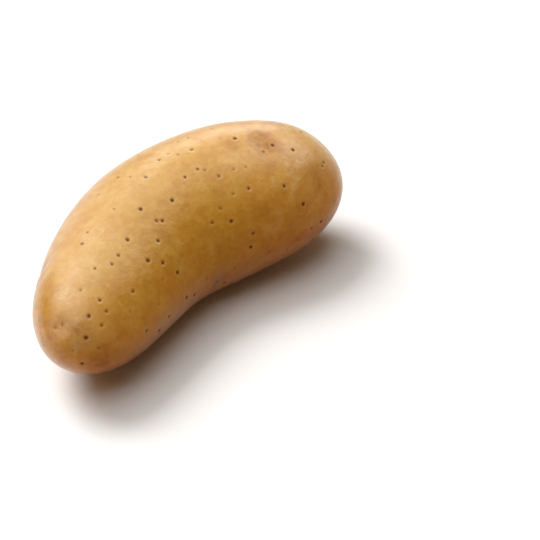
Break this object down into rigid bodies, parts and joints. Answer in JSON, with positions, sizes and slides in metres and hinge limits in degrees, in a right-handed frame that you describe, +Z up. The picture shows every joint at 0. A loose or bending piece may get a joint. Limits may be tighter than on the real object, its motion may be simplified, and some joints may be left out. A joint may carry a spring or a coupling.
{
  "type": "potato",
  "caption": "Long, bent salad potato with thin golden skin, pores and shallow eyes, lying on its side on a small flat spot.",
  "frame": {"origin": "on the surface it lies on, under the middle of its outline", "axes": "+X from the heel, where the stalk broke off, to the rose end; both ends bend round towards -Y; +Z up"},
  "size_m": [0.1152, 0.0534, 0.044],
  "materials": {
    "potato_skin": "satin, washed thin skin"
  },
  "bodies": {
    "root": {"potato": "potato_skin"}
  },
  "joints": []
}
